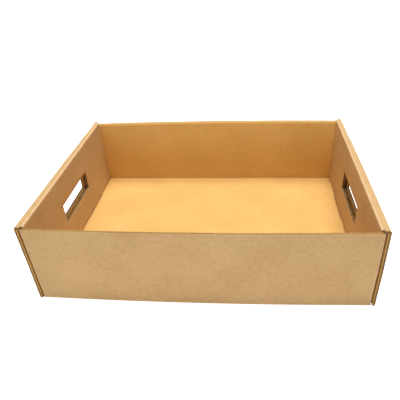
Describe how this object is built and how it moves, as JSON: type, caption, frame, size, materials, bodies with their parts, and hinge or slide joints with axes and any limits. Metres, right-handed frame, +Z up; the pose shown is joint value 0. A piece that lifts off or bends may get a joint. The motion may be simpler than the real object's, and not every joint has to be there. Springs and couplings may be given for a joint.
{
  "type": "cardboard tray",
  "caption": "Open corrugated cardboard tray folded from a single sheet, with rolled-over double end walls that carry hand holes.",
  "frame": {"origin": "middle of the underside of the floor, on the surface the tray stands on", "axes": "+X along the tray from one hand-hole end to the other, +Y from the front wall to the back wall, +Z up"},
  "size_m": [0.5, 0.35, 0.137],
  "materials": {
    "kraft_board": "plain brown kraft liner, matt, with a faint washboard of the flutes"
  },
  "bodies": {
    "root": {"tray": "kraft_board"}
  },
  "joints": []
}
